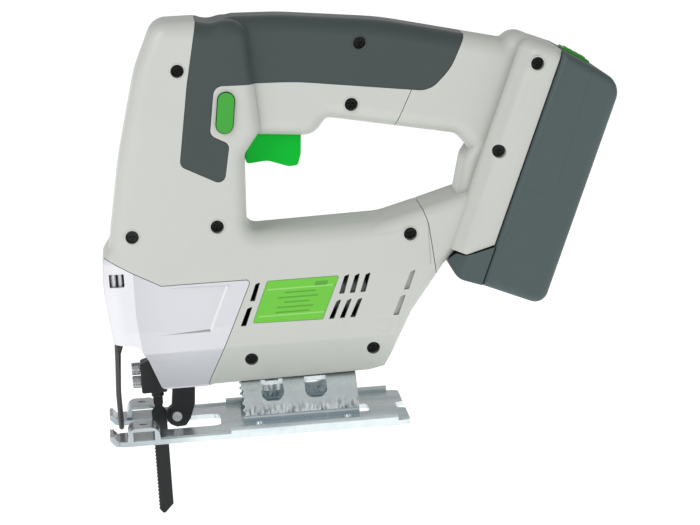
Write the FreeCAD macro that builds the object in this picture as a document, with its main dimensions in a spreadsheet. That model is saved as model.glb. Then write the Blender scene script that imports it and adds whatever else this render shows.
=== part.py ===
import FreeCAD, Part
import math
import os
import re
from FreeCAD import Vector

# Cordless jigsaw. The frame: origin at the middle of the sole (underside of the base plate),
# +X to the rear (battery), -X to the blade, +Z up, +Y to the tool's right hand side. Millimetres.

os.makedirs("parts", exist_ok=True)
doc = FreeCAD.newDocument("jigsaw")
sheet = doc.addObject("Spreadsheet::Sheet", "sizes")

SIZES = {
    "body_width": 50,          # front column and motor housing
    "grip_width": 36,          # handle
    "arm_width": 49.4,         # rear arm below the handle opening
    "wall": 3,                 # housing wall
    "grip_skin": 1.5,          # rubber skin
    "seam": 0.3,               # gap between neighbouring covers
    "gap": 0.4,                # gap between a moving piece and what it passes
    "running": 0.05,           # radial clearance of a shaft in its bearing
    "base_length": 148,
    "base_width": 80,
    "sheet_metal": 2.5,        # base plate thickness
    "blade_slot": 31,
    "saddle_radius": 25.8,     # outside of the bevel bracket, about the X axis
    "bracket_front": -7.5,
    "bracket_rear": 50,
    "blade_axis": -49,         # X of the plunger rod
    "rod_radius": 4,
    "stroke": 18,
    "blade_width": 7.4,
    "blade_thick": 1.3,
    "blade_tip": -43,
    "motor_radius": 18,
    "motor_height": 62,
    "motor_front": 8,
    "motor_length": 50,
    "shaft_radius": 2.5,
    "tooth_module": 1,
    "pinion_teeth": 10,
    "gear_teeth": 40,
    "gear_width": 6,
    "battery_lean": 23,
    "battery_length": 121,
    "battery_width": 70,
    "battery_thick": 33,
    "column_width": 65,
    "column_height": 101,
    "screw_radius": 1.6,
    "screw_head": 2.8,
    "recess_radius": 3.3,
    "bevel_screw": 7.9,       # X of the screw that clamps the bevel bracket
    "guard_wire": 1.3,
    "roller_radius": 5.4,
}
for row, (alias, value) in enumerate(SIZES.items(), start=1):
    sheet.set("A%d" % row, alias)
    sheet.set("B%d" % row, str(value))
    sheet.setAlias("B%d" % row, alias)
doc.recompute()


class Sizes:
    """The sheet's numbers, read by name."""

    def __getattr__(self, alias):
        return float(getattr(sheet, alias))


D = Sizes()


def bound(text):
    """An expression on the sheet, from text that uses the sheet's words."""
    return re.sub(r"[a-z][a-z_]+", lambda word: "sizes." + word.group(0), str(text))


def plane_of(body, role):
    for feature in body.Origin.OriginFeatures:
        if feature.Role == role:
            return feature


def outline(points):
    """Lines and tangent arcs of a closed outline: each point is (u, v) or (u, v, radius)."""
    count = len(points)
    entries, exits, arcs = [], [], []
    for i, point in enumerate(points):
        here = Vector(point[0], point[1], 0)
        radius = point[2] if len(point) > 2 else 0
        before = points[i - 1]
        after = points[(i + 1) % count]
        to_before = Vector(before[0], before[1], 0) - here
        to_after = Vector(after[0], after[1], 0) - here
        if radius == 0:
            entries.append(here)
            exits.append(here)
            arcs.append(None)
            continue
        to_before.normalize()
        to_after.normalize()
        half = to_before.getAngle(to_after) / 2
        reach = radius / math.tan(half)
        bisector = to_before + to_after
        bisector.normalize()
        centre = here + bisector * (radius / math.sin(half))
        entries.append(here + to_before * reach)
        exits.append(here + to_after * reach)
        arcs.append(Part.Arc(entries[-1], centre - bisector * radius, exits[-1]))
    pieces = []
    for i in range(count):
        if arcs[i]:
            pieces.append(arcs[i])
        start = exits[i]
        end = entries[(i + 1) % count]
        heading = Vector(*points[(i + 1) % count][:2], 0) - Vector(*points[i][:2], 0)
        if (end - start).dot(heading) < -1e-6:
            raise ValueError("rounded corners meet after point %d of %s" % (i, points))
        if start.distanceToPoint(end) > 1e-6:
            pieces.append(Part.LineSegment(start, end))
    return pieces


def circle(u, v, radius):
    return [Part.Circle(Vector(u, v, 0), Vector(0, 0, 1), radius)]


def ring(u, v, outer, inner):
    return circle(u, v, outer) + circle(u, v, inner)


def slot(u, v, length, radius, turn=0):
    """A pill outline, its long way turned from the u axis by turn degrees."""
    c, s = math.cos(math.radians(turn)), math.sin(math.radians(turn))
    half = length / 2
    corners = [(-half, -radius), (half, -radius), (half, radius), (-half, radius)]
    reach = radius * 0.999
    return outline([(u + a * c - b * s, v + a * s + b * c, reach) for a, b in corners])


def block(u0, v0, u1, v1, radius=0):
    return outline([(u0, v0, radius), (u1, v0, radius), (u1, v1, radius), (u0, v1, radius)])


def new_body(label):
    body = doc.addObject("PartDesign::Body", label)
    body.Label = label
    return body


def sketch(body, role, pieces, lift="0"):
    drawing = body.newObject("Sketcher::SketchObject", body.Label + "_sketch")
    drawing.AttachmentSupport = [(plane_of(body, role), "")]
    drawing.MapMode = "FlatFace"
    drawing.addGeometry(pieces, False)
    drawing.setExpression("AttachmentOffset.Base.z", bound(lift))
    return drawing


def pad(label, role, pieces, low, high, taper=0, body=None):
    """A prism: pieces drawn on the XY, XZ or YZ plane, from low to high on the third axis."""
    body = body or new_body(label)
    lift = "-(%s)" % high if role == "XZ_Plane" else low
    drawing = sketch(body, role, pieces, lift)
    feature = body.newObject("PartDesign::Pad", label + "_pad")
    feature.Profile = drawing
    feature.setExpression("Length", bound("(%s) - (%s)" % (high, low)))
    feature.TaperAngle = taper
    drawing.Visibility = False
    body.Tip = feature
    return body


def pad_x(label, pieces, low, high):
    return pad(label, "YZ_Plane", pieces, low, high)


def pad_y(label, pieces, low, high):
    return pad(label, "XZ_Plane", pieces, low, high)


def pad_z(label, pieces, low, high):
    return pad(label, "XY_Plane", pieces, low, high)


def turned(label, pieces, axis):
    """A turned piece: its half section drawn on XZ, spun about the X ("H_Axis") or Z ("V_Axis")."""
    body = new_body(label)
    drawing = sketch(body, "XZ_Plane", pieces)
    feature = body.newObject("PartDesign::Revolution", label + "_turn")
    feature.Profile = drawing
    feature.ReferenceAxis = (drawing, [axis])
    feature.Angle = 360
    drawing.Visibility = False
    body.Tip = feature
    return body


def cut(label, base, *tools):
    feature = doc.addObject("Part::Cut", label)
    feature.Label = label
    feature.Base = base
    feature.Tool = tools[0] if len(tools) == 1 else fuse(label + "_tools", *tools)
    return feature


def fuse(label, *shapes):
    feature = doc.addObject("Part::MultiFuse", label)
    feature.Label = label
    feature.Shapes = list(shapes)
    feature.Refine = True
    return feature


def common(label, *shapes):
    feature = doc.addObject("Part::MultiCommon", label)
    feature.Label = label
    feature.Shapes = list(shapes)
    return feature


def group(label, *shapes):
    feature = doc.addObject("Part::Compound", label)
    feature.Label = label
    feature.Links = list(shapes)
    return feature


def place(feature, x="0", y="0", z="0"):
    for axis, text in zip("xyz", (x, y, z)):
        feature.setExpression("Placement.Base." + axis, bound(text))
    return feature


# ---------------------------------------------------------------- outside form of the body
# Prisms with rounded rims: the front column with the motor housing, the slimmer handle bow, the rear
# arm, a heel that fills the corner over the arm, and the broad column that carries the battery.
MAIN_FORM = [
    (-46.3, 22.2, 2.5), (-52.2, 39.0, 6), (-57.0, 46.8, 4), (-68.7, 48.0), (-71.9, 76.0, 60),
    (-71.0, 90.5, 9), (-66.9, 96.5, 6), (-59.6, 137.0, 200), (-48.4, 180.0, 60), (-37.2, 204.9, 10),
    (-16.5, 204.6, 10), (-10.8, 202.2, 12), (-4.0, 203.8, 12), (8.0, 203.4, 9), (11.5, 148.5, 9),
    (2.9, 137.5, 6), (1.2, 98.5, 6), (68.0, 99.5, 30), (90.6, 104.6), (94.6, 72.0), (80.3, 54.0, 20), (64.5, 25.6),
    (57.0, 24.0, 8), (-20.5, 23.0, 3), (-23.5, 22.2, 3),
]
HANDLE_FORM = [
    (-24.0, 196.0, 9.5), (-10.5, 202.3, 12), (1.5, 204.8, 12), (25.0, 203.8, 150), (75.0, 197.6, 150),
    (134.6, 183.0, 3), (139.9, 187.5, 8.5), (153.5, 181.5, 9), (134.5, 112.0, 9.5), (117.5, 106.0, 9.5),
    (114.2, 130.5, 1.5), (107.5, 138.8, 6), (80.0, 144.4, 60), (44.4, 151.6, 4), (37.6, 143.2, 9.5),
    (-24.0, 148.9, 9.5),
]
ARM_FORM = [
    (113.0, 90.5, 5.5), (97.6, 76.6, 20), (80.0, 54.0, 20), (66.0, 40.0, 8),
    (50.0, 50.0, 8), (50.0, 94.5, 8), (88.5, 104.2, 20), (107.0, 109.2, 1), (119.0, 113.0, 5),
    (123.0, 100.0, 5),
]
HEEL_FORM = [(121.0, 96.0, 6), (103.0, 96.0, 6), (111.0, 126.5, 8), (116.5, 134.0, 8), (122.0, 160.0, 6),
             (138.0, 160.0, 6)]
UNDERSIDE = [(12.5, 15), (12.5, 23, 0), (23.4, 42.5, 3), (25.1, 54), (45, 54), (45, 225)]
COLUMN_FOOT = (121.6, 84.6)    # lower end of the seam between column and battery


def pulled_in(points, amount):
    """The same closed outline with every straight stretch moved towards its inside."""
    count = len(points)
    area = sum(points[i - 1][0] * points[i][1] - points[i][0] * points[i - 1][1] for i in range(count))
    side = 1 if area > 0 else -1
    lines = []
    for i in range(count):
        a, b = points[i], points[(i + 1) % count]
        du, dv = b[0] - a[0], b[1] - a[1]
        size = math.hypot(du, dv)
        lines.append((a[0] - side * dv / size * amount, a[1] + side * du / size * amount, du, dv))
    moved = []
    for i in range(count):
        u0, v0, du0, dv0 = lines[i - 1]
        u1, v1, du1, dv1 = lines[i]
        cross = du0 * dv1 - dv0 * du1
        along = ((u1 - u0) * dv1 - (v1 - v0) * du1) / cross
        radius = points[i][2] if len(points[i]) > 2 else 0
        if radius:
            radius = max(radius - amount, 0) if side * cross > 0 else max(radius + amount, 0)
        moved.append((u0 + along * du0, v0 + along * dv0, radius))
    return moved


def both_sides(points):
    """An outline that is the same either side of u = 0, from its right half, bottom to top."""
    mirror = [(-point[0],) + tuple(point[1:]) for point in reversed(points)]
    return outline(points + mirror)


def faces_away(face, point):
    """How far a face looks sideways (along Y) at a point: 0 for an edge surface, 1 for a side."""
    u, v = face.Surface.parameter(point)
    return abs(face.normalAt(u, v).y)


def rim_edges(shape, inside):
    """Edges between a flat side and the outline surface, where inside(x, z) holds."""
    found = []
    for i, edge in enumerate(shape.Edges, start=1):
        middle = edge.valueAt((edge.FirstParameter + edge.LastParameter) / 2)
        looks = [faces_away(face, middle) for face in shape.ancestorsOfType(edge, Part.Face)]
        if min(looks) < 0.05 and max(looks) > 0.95 and inside(middle.x, middle.z):
            found.append(i)
    return found


def with_rims(label, base, radius, inside=lambda x, z: True):
    """Rims of a prism rounded off, all of them or those where inside(x, z) holds."""
    doc.recompute()
    feature = doc.addObject("Part::Fillet", label)
    feature.Label = label
    feature.Base = base
    feature.Edges = [(i, radius, radius) for i in rim_edges(base.Shape, inside)]
    return feature


def leaning(feature):
    """Puts a piece drawn in the battery's own frame (x off the seam, z up along it) in place."""
    feature.Placement = FreeCAD.Placement(Vector(COLUMN_FOOT[0], 0, COLUMN_FOOT[1]),
                                          FreeCAD.Rotation(Vector(0, 1, 0), D.battery_lean))
    feature.setExpression("Placement.Rotation.Angle", bound("battery_lean"))
    return feature


def prism_y(label, points, inset, width):
    half = "%s / 2 - %s" % (width, inset)
    return pad_y(label, outline(pulled_in(points, inset)), "-(%s)" % half, half)


def main_form(name, inset):
    """The front column with the motor housing; its rims are round but for the front's lower end."""
    return with_rims(name, prism_y(name + "_prism", MAIN_FORM, inset, "body_width"), 8 - inset,
                     lambda x, z: x < -60 and z > 50 or z > 94 or x > 70 and 50 < z < 72)


def body_form(name, inset):
    """The outside of the body, or with an inset the same form drawn in by so much."""
    main = main_form(name + "_main", inset)
    handle = with_rims(name + "_handle", prism_y(name + "_handle_prism", HANDLE_FORM, inset, "grip_width"),
                       8 - inset)
    arm = with_rims(name + "_arm", prism_y(name + "_arm_prism", ARM_FORM, inset, "arm_width"), 5 - inset)
    heel = with_rims(name + "_heel", prism_y(name + "_heel_prism", HEEL_FORM, inset, "grip_width"), 5 - inset)
    half = D.column_width / 2 - inset
    front = -19.5 + inset
    column = pad_z(name + "_column_prism",
                   outline([(0, -half), (0, half), (-12, half, 8), (front, 24.5, 6),
                            (front, -24.5, 6), (-12, -half, 8)]),
                   "-14", "column_height - %s" % inset)
    doc.recompute()
    top_rim = [i for i, edge in enumerate(column.Shape.Edges, start=1)
               if edge.BoundBox.ZMin > D.column_height - inset - 0.1 and edge.CenterOfMass.x < -0.1]
    column_round = doc.addObject("Part::Fillet", name + "_column")
    column_round.Base = column
    column_round.Edges = [(i, 6 - inset, 6 - inset) for i in top_rim]
    leaning(column_round)
    return main, handle, arm, heel, column_round


def half_of(label, solid, side):
    """The left (-Y) or right (+Y) half of a solid."""
    plan = block(-120, 0, 260, 60) if side == "right" else block(-120, -60, 260, 0)
    return common(label, solid, pad_z(label + "_side", plan, "-60", "260"))


def foot_wedge(name):
    """What is cut off the column's lower end so that the battery's foot fits under it."""
    wedge = outline([(5, -30), (5, 3.9), (-11.5, -9.0, 2), (-30, -10.0), (-30, -30)])
    return leaning(pad_y(name, wedge, "-50", "50"))


def whole_form(name, inset):
    main, handle, arm, heel, column = body_form(name, inset)
    drawn_in = [(u - inset * 0.9 if u < 40 else u, v + inset if v < 40 else v, *rest) for u, v, *rest in UNDERSIDE]
    under = pad_x(name + "_under", both_sides(drawn_in), "-90", "90")
    return fuse(name + "_form", common(name + "_main_cut", main, under), handle, arm, heel,
                cut(name + "_column_cut", column, foot_wedge(name + "_wedge")))


# Body space: what is hollow behind the walls.
SPACE_HANDLE = [(-20, 192), (2, 200), (25, 199.3), (75, 193), (133.5, 178.6), (141.5, 182), (147, 179.5),
                (124, 125), (119, 134), (110, 142.6), (81, 148.6), (46, 155.6), (40, 149), (-20, 153)]
SPACE_ARM = [(50, 60), (50, 90.3), (88.5, 99.8), (109.7, 105.6), (115.5, 128), (124, 128), (109, 91), (98.5, 83),
             (80, 60.5), (66, 50)]
SPACE_UNDER = [(8, 29.4), (11, 29.4), (20.3, 43), (22, 56), (45, 56), (45, 225)]
NOSE_AREA = [(-80, 93), (-70.6, 91.6), (-57.3, 83.4), (-43.2, 75.8, 2), (0.9, 75.6, 1.5), (-21.8, 27.0),
             (-27, 14), (-80, 14)]
REAR_AREA = [(114.7, 215), (77.0, 143.2), (85.5, 112), (90.6, 97.0, 20), (93.3, 68.0), (94, 30), (240, 30),
             (240, 215)]
GRIP_AREA = [(-15.2, 215), (-16.6, 203.5, 20), (-23, 173.5, 150), (-29.3, 134.5, 3.5), (-8.6, 123.6, 3.5),
             (-4.8, 143.3, 3), (-14, 148.4, 4), (-10.2, 172.6, 5), (30, 171.2, 150), (96, 161.6, 12),
             (107, 172, 30), (114.6, 187, 10), (115.2, 215)]

outer = whole_form("outer", 0)
skin = whole_form("skin", D.grip_skin)

space_main = main_form("space_main", D.wall)
space_under = pad_x("space_under", both_sides(SPACE_UNDER), "-90", "90")
space_handle = pad_y("space_handle", outline(SPACE_HANDLE), "-(grip_width / 2 - 4.5)", "grip_width / 2 - 4.5")
space_arm = pad_y("space_arm", outline(SPACE_ARM), "-(grip_width / 2 - 4.5)", "grip_width / 2 - 4.5")
space_column = leaning(pad_z("space_column", block(-16, -26, -11.5, 26), "-2", "column_height - 5"))
space = fuse("space", common("space_main_cut", space_main, space_under), space_handle, space_arm, space_column)

# Ribs that carry the motor and the gear frame stay solid inside that space.
motor_seat = pad_x("motor_seat", circle(0, D.motor_height, D.motor_radius), "-90", "90")
motor_ribs = cut("motor_ribs", fuse("motor_rib_blocks",
                                    pad_x("motor_rib_front", block(-40, 20, 40, 90), "14", "17"),
                                    pad_x("motor_rib_rear", block(-40, 20, 40, 90), "48", "51")), motor_seat)
frame_ribs = pad_x("frame_ribs", block(17, 62, 30, 100) + block(-30, 62, -17, 100), "-27", "-19")
space_left = cut("space_left", space, motor_ribs, frame_ribs)
walls = cut("walls", outer, space_left)

# Screws that hold the two halves together: position on the left side, and the face the head is sunk into.
half_body, half_grip, half_column = D.body_width / 2, D.grip_width / 2, D.column_width / 2
# The seventh is short: its bosses stop either side of the plunger.
SCREWS = [
    (-27.3, 181.0, half_body, 0), (63.1, 187.4, half_grip, 0), (56.9, 157.6, half_grip, 0),
    (148.4, 172.2, half_column, 0), (127.0, 130.4, half_column, 0), (81.2, 92.2, half_body, 0),
    (-55.5, 101.2, half_body, 16.2), (-13.5, 103.1, half_body, 0), (-1.3, 35.0, 19.2, 0), (59.4, 35.9, 19.2, 0),
]
bosses, screw_ways, screws = [], [], []
for number, (x, z, face, clear) in enumerate(SCREWS, start=1):
    seat = -(face - 5) if clear else -(face - 9)
    shank_end, way_end = (-(clear + 0.4), -(clear - 0.5)) if clear else (10.5, 11)
    key = "_%d" % number
    spans = [("a", -face + 0.2, -clear), ("b", clear, face - 1)]
    for tag, low, high in spans:
        bosses.append(pad_y("boss" + key + tag, circle(x, z, 4.2), str(low), str(high)))
    screw_ways.append(pad_y("recess" + key, circle(x, z, D.recess_radius), "-60", str(seat)))
    screw_ways.append(pad_y("way" + key, circle(x, z, D.screw_radius), str(seat), str(way_end)))
    head = pad_y("head" + key, circle(x, z, D.screw_head), str(seat - 2.2), str(seat))
    shank = pad_y("shank" + key, circle(x, z, D.screw_radius), str(seat), str(shank_end))
    cross = fuse("cross" + key, *[pad_y("cross_%s%s" % (tag, key), block(x - u, z - v, x + u, z + v),
                                        str(seat - 2.6), str(seat - 0.9))
                                  for tag, u, v in (("u", 1.7, 0.4), ("v", 0.4, 1.7))])
    screws.append(cut("screw" + key, fuse("screw_blank" + key, head, shank), cross))
boss_block = common("boss_block", fuse("boss_set", *bosses), outer)

# Vents: slanted slots through both sides, and two blind ones on the arm.
def slanted(x_top, z_top, x_low, z_low, width):
    return outline([(x_top, z_top, 0.4), (x_low, z_low, 0.3), (x_low - width, z_low, 0.3),
                    (x_top - width, z_top - 1.0, 0.9)])


vent_pieces = slanted(5.6, 74.2, 2.2, 64.9, 2.5) + slanted(0.9, 62.4, -3.0, 52.8, 2.7)
for step in range(3):
    x = 49.8 + 5.25 * step
    vent_pieces += slanted(x, 74.8, x - 3.3, 65.2, 2.6)
    vent_pieces += slanted(x - 4.8, 62.6, x - 9.2, 53.0, 2.6)
vents = pad_y("vents", vent_pieces, "-60", "60")
blind_pieces = slanted(82.6, 74.4, 78.6, 64.8, 2.6) + slanted(76.9, 62.4, 72.6, 52.4, 2.7)
grip_layer = cut("grip_layer", outer, skin)
blind_vents = common("blind_vents", grip_layer, pad_y("blind_area", blind_pieces, "-60", "60"))

# Openings in the walls for what moves or is let in.
LABEL_AREA = [(9.1, 74.3, 0.8), (44.5, 74.3, 0.8), (35.0, 53.3, 0.8), (0.5, 54.0, 0.8)]
label_bed = pad_y("label_bed", outline(pulled_in(LABEL_AREA, -0.15)), "-60", "-(body_width / 2 - 0.8)")
BUTTON = (-5.4, 159.0, 20, 4, 82)
button_way = pad_y("button_way", slot(BUTTON[0], BUTTON[1], BUTTON[2] + 2 * D.gap, BUTTON[3] + D.gap, BUTTON[4]),
                   "-60", "-(body_width / 2 - wall - 1)")
trigger_way = pad_y("trigger_way", block(2.6, 126, 34.5, 154), "-8.6", "8.6")
saddle_way = pad_x("saddle_way", circle(0, 0, D.saddle_radius + D.gap), "bracket_front - 3", "bracket_rear + 3")
bay = pad_y("bay", outline([(-66, 10), (-66, 62), (-27.5, 62), (-27.5, 10)]), "-9.6", "9.6")
bevel_screw_way = pad_z("bevel_screw_way", circle(D.bevel_screw, 0, 3.05), "20", "31")
RAIL_PLAN = [(1, -21.5), (1, 21.5), (-4, 21.5), (-4, 24.5), (-8.5, 24.5), (-8.5, -24.5), (-4, -24.5), (-4, -21.5)]
rail_way = leaning(pad_z("rail_way", outline(RAIL_PLAN), "-20", "86"))
blade_channels = leaning(pad_z("blade_channels", block(-10.8, -8.7, -8, -6.3) + block(-10.8, 6.3, -8, 8.7),
                               "-20", "61"))
socket_way = leaning(pad_z("socket_way", block(-12, -15, -8, 15), "60", "85"))

grip_recess = common("grip_recess", grip_layer,
                     pad_y("grip_recess_area", outline(pulled_in(GRIP_AREA, -D.seam)), "-60", "60"))
nose_more = pad_y("nose_more", outline(pulled_in(NOSE_AREA, -D.seam)), "-60", "60")
rear_area = pad_y("rear_area", outline(REAR_AREA), "-60", "60")
rear_more = pad_y("rear_more", outline(pulled_in(REAR_AREA, -D.seam)), "-60", "60")

shell = cut("shell", fuse("shell_blank", walls, boss_block), grip_recess, nose_more, vents, blind_vents,
            label_bed, button_way, trigger_way, saddle_way, bay, bevel_screw_way, rail_way, blade_channels,
            socket_way, *screw_ways)
front_shell = cut("front_shell", shell, rear_more)
rear_shell = common("rear_shell", shell, rear_area)

parts = {}
parts["front_left_shell"] = half_of("front_left_shell", front_shell, "left")
parts["front_right_shell"] = half_of("front_right_shell", front_shell, "right")
parts["rear_left_shell"] = half_of("rear_left_shell", rear_shell, "left")
parts["rear_right_shell"] = half_of("rear_right_shell", rear_shell, "right")

grip_area = pad_y("grip_area", outline(GRIP_AREA), "-60", "60")
grip_screw = pad_y("grip_screw", circle(63.1, 187.4, D.recess_radius), "-60", "0")
grip = cut("grip", common("grip_blank", grip_layer, grip_area), grip_screw)

parts["left_grip"] = half_of("left_grip", grip, "left")
parts["right_grip"] = half_of("right_grip", grip, "right")

# ---------------------------------------------------------------- nose cover and guard
def rods(label, points, radius):
    """A bent round wire through the points."""
    pieces = []
    for number, (start, end) in enumerate(zip(points, points[1:]), start=1):
        run = Vector(*end) - Vector(*start)
        rod = doc.addObject("Part::Cylinder", "%s_run_%d" % (label, number))
        rod.Radius = radius
        rod.Height = run.Length
        rod.Placement = FreeCAD.Placement(Vector(*start), FreeCAD.Rotation(Vector(0, 0, 1), run))
        pieces.append(rod)
        if number > 1:
            knee = doc.addObject("Part::Sphere", "%s_knee_%d" % (label, number))
            knee.Radius = radius
            knee.Placement.Base = Vector(*start)
            pieces.append(knee)
    return fuse(label, *pieces)


def coil(label, x, y, low, height, radius, wire, turns):
    """A compression spring standing on z = low."""
    helix = doc.addObject("Part::Helix", label + "_line")
    helix.Radius = radius
    helix.Height = height - 2 * wire
    helix.Pitch = (height - 2 * wire) / turns
    helix.Placement.Base = Vector(x, y, low + wire)
    section = doc.addObject("Part::Circle", label + "_section")
    section.Radius = wire
    section.Placement = FreeCAD.Placement(Vector(x + radius, y, low + wire),
                                          FreeCAD.Rotation(Vector(1, 0, 0), 90))
    sweep = doc.addObject("Part::Sweep", label)
    sweep.Sections = [section]
    sweep.Spine = (helix, ["Edge1"])
    sweep.Solid = True
    sweep.Frenet = True
    return sweep


GUARD_ENDS = [(-67.2, -5), (-64.4, 5)]
guard_points = [(-67.2, -5, 51), (-67.2, -5, 46), (-67.5, -5, 38), (-68.4, -5, 20), (-68.2, -5, 3.4),
                (-68.2, 5, 3.4), (-68.4, 5, 20), (-67.0, 5, 39), (-64.4, 5, 46.2), (-64.4, 5, 51)]
parts["wire_guard"] = rods("wire_guard", guard_points, D.guard_wire)
guard_ways = [pad_z("guard_way_%d" % y, circle(x, y, D.guard_wire + D.running), "46", "53")
              for x, y in GUARD_ENDS]

ARM_PIVOT, ROLLER_AT = (-32, 32), (-40.1, 6.6)
pivot_way = pad_y("pivot_way", circle(*ARM_PIVOT, 2 + D.running), "-15.05", "15.05")
window = pad_y("window", block(-68.4, 76.8, -61.1, 83.4, 0.6), "-60", "-(body_width / 2 - 5)")
shelves = fuse("shelves", *[pad_y("shelf_" + name, block(*area), "-(body_width / 2 - wall + 0.2)",
                                  "-(body_width / 2 - 7.5)")
                            for name, area in (("low", (-68.3, 71, -60.4, 74.5)),
                                               ("high", (-68.3, 84.3, -65.2, 86.4)))])
pin_room = pad_y("pin_room", block(-68.3, 74.5, -61.2, 84.3), "-(body_width / 2 - 3.1)",
                 "-(body_width / 2 - 8)")

# The sunk panel on each cheek starts at nothing in front and is deepest at the rear; its walls slope.
PANEL = [(-49, 73.3), (-11.5, 73.0), (-21.3, 53.0), (-49, 52.6)]
SLOPE, PANEL_CUT = 50, 2.2
flared = pulled_in(PANEL, -PANEL_CUT * math.tan(math.radians(SLOPE)))
cheek_left = pad("cheek_left", "XZ_Plane", outline(PANEL), "-(body_width / 2 + 1)", "-(body_width / 2 - 1.2)",
                 SLOPE)
cheek_right = pad("cheek_right", "XZ_Plane", outline(flared), "body_width / 2 - 1.2", "body_width / 2 + 1",
                  -SLOPE)
ramp_left = pad_z("ramp_left", outline([(-47, -3), (-47, 0), (-9, 1.2), (-9, -3)]), "45", "80")
ramp_right = pad_z("ramp_right", outline([(-47, 3), (-47, 0), (-9, -1.2), (-9, 3)]), "45", "80")
panel_left = common("panel_left", cheek_left, place(ramp_left, y="-(body_width / 2)"))
panel_right = common("panel_right", cheek_right, place(ramp_right, y="body_width / 2"))
nose_area = pad_y("nose_area", outline(NOSE_AREA), "-60", "60")
nose_bosses = common("nose_bosses", fuse("nose_walls", walls, boss_block), nose_area)
parts["nose_cover"] = cut("nose_cover", fuse("nose_blank", nose_bosses, shelves), bay, pivot_way, window,
                          pin_room, panel_left, panel_right, saddle_way, *guard_ways)
parts["nose_pins"] = group("nose_pins", *[pad_z("nose_pin_" + name, circle(x, -(half_body - 5), 1.4), "74.5", "84.3")
                                          for name, x in (("a", -66.4), ("b", -62.9))])
parts["housing_screws"] = group("housing_screws", *screws)
parts["label_plate"] = pad_y("label_plate", outline(LABEL_AREA), "-(body_width / 2)",
                             "-(body_width / 2 - 0.8)")

# ---------------------------------------------------------------- motor, gears and plunger
motor_rear = D.motor_front + D.motor_length
parts["motor_can"] = fuse(
    "motor_can",
    pad_x("can_tube", ring(0, D.motor_height, D.motor_radius - D.running, D.motor_radius - 1.5),
          "motor_front", "motor_front + motor_length"),
    pad_x("can_face", ring(0, D.motor_height, D.motor_radius - 1, 6), "motor_front", "motor_front + 1.5"))
parts["motor_magnets"] = group(
    "motor_magnets",
    *[common("magnet_%s" % name, pad_x("magnet_ring_" + name, ring(0, D.motor_height, D.motor_radius - 1.52, 13.5),
                                       "motor_front + 6", "motor_front + motor_length - 6"),
             pad_x("magnet_half_" + name, block(*sides), "0", "90"))
      for name, sides in (("left", (-20, 51, -4, 73)), ("right", (4, 51, 20, 73)))])
parts["motor_end_cap"] = pad_x("motor_end_cap", ring(0, D.motor_height, 17, D.shaft_radius + D.running),
                               "motor_front + motor_length", "motor_front + motor_length + 6")
parts["rotor_core"] = pad_x("rotor_core", ring(0, D.motor_height, 12.5, D.shaft_radius), "motor_front + 8",
                            "motor_front + motor_length - 14")
parts["commutator"] = pad_x("commutator", ring(0, D.motor_height, 6, D.shaft_radius),
                            "motor_front + motor_length - 13", "motor_front + motor_length - 3")
parts["rotor_shaft"] = pad_x("rotor_shaft", circle(0, D.motor_height, D.shaft_radius), "-38",
                             "motor_front + motor_length + 5")
blades = [pad_x("fan_blade_%d" % k, block(-0.7, D.motor_height + 4, 0.7, D.motor_height + 15.5), "-5", "2")
          for k in range(9)]
for k, blade in enumerate(blades):
    blade.Placement = FreeCAD.Placement(Vector(0, 0, 0), FreeCAD.Rotation(Vector(1, 0, 0), 40 * k),
                                        Vector(0, 0, D.motor_height))
parts["cooling_fan"] = fuse("cooling_fan", pad_x("fan_disc", ring(0, D.motor_height, 16, D.shaft_radius),
                                                 "2", "3.5"),
                            pad_x("fan_hub", ring(0, D.motor_height, 5, D.shaft_radius), "-5", "2.5"), *blades)
parts["front_bearing"] = pad_x("front_bearing", ring(0, D.motor_height, 6.5, D.shaft_radius + D.running),
                               "-26", "-20")


def gear_outline(u, v, teeth, first):
    """Straight flanked teeth, thinner than half the pitch so that they run free."""
    pitch_radius = D.tooth_module * teeth / 2
    root, tip = pitch_radius - 1.25 * D.tooth_module, pitch_radius + 0.9 * D.tooth_module
    half = 90 / teeth * 0.62
    points = []
    for k in range(teeth):
        middle = first + 360 / teeth * k
        for radius, turn in ((root, -half * 1.5), (tip, -half * 0.45), (tip, half * 0.45), (root, half * 1.5)):
            angle = math.radians(middle + turn)
            points.append((u + radius * math.cos(angle), v + radius * math.sin(angle)))
    return outline(points)


gear_height = D.motor_height + D.tooth_module * (D.pinion_teeth + D.gear_teeth) / 2
crank = D.stroke / 2
parts["pinion"] = pad_x("pinion", gear_outline(0, D.motor_height, int(D.pinion_teeth), 90 + 180 / D.pinion_teeth)
                        + circle(0, D.motor_height, D.shaft_radius), "-37", "-29")
parts["drive_gear"] = pad_x("drive_gear", gear_outline(0, gear_height, int(D.gear_teeth), 90)
                            + circle(0, gear_height, 4 + D.running) + circle(crank, gear_height, 3),
                            "-36", "-36 + gear_width")
parts["crank_pin"] = pad_x("crank_pin", circle(crank, gear_height, 3), "-43.5", "-30.5")
parts["gear_shaft"] = pad_x("gear_shaft", circle(0, gear_height, 4), "-37", "-18")

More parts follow.
